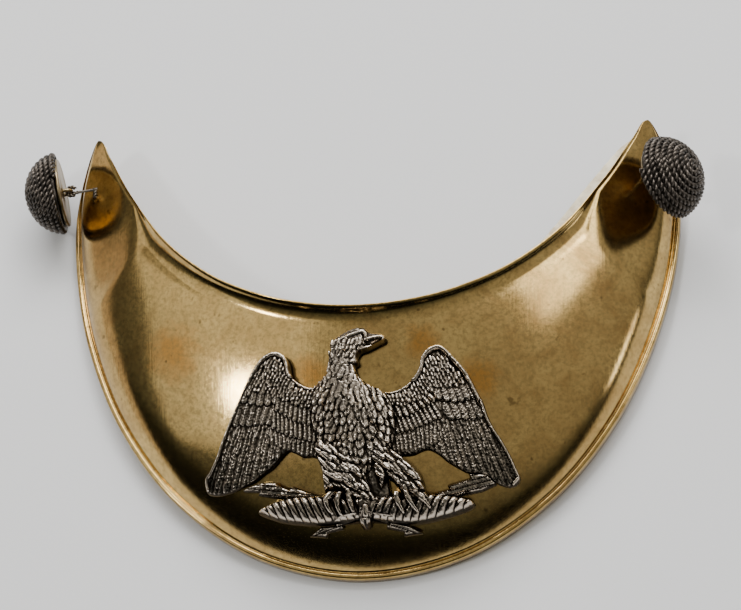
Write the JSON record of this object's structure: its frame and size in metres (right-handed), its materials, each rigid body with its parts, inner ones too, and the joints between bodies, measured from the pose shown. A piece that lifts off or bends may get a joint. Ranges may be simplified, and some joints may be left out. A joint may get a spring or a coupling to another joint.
{
  "type": "gorget",
  "caption": "Crescent metal neck plate with a domed face, a raised eagle badge in the middle and a cord-wound button tied to each pointed tip.",
  "frame": {"origin": "bottom centre of the whole object's box, on the surface it lies on", "axes": "+Z out of the surface through the domed face, +Y towards the pointed tips, +X to the right as seen from the front"},
  "size_m": [0.1516, 0.1, 0.0259],
  "materials": {
    "brass_sheet": "polished, fine scratches and brown tarnish",
    "brass_disc": "dull",
    "cast_silver": "silver casting, dark in the hollows, worn bright on the ridges",
    "silver_cord": "silver cord gone nearly black",
    "silver_wire": "bare wire",
    "cream_leather": "plain edge"
  },
  "bodies": {
    "root": {"plate": "brass_sheet", "lining_edge": "cream_leather", "eagle": "cast_silver", "button_back_left": "brass_disc", "button_back_right": "brass_disc", "button_cord_left": "silver_cord", "button_cord_right": "silver_cord", "tie_wire_left": "silver_wire", "tie_wire_right": "silver_wire"}
  },
  "joints": []
}
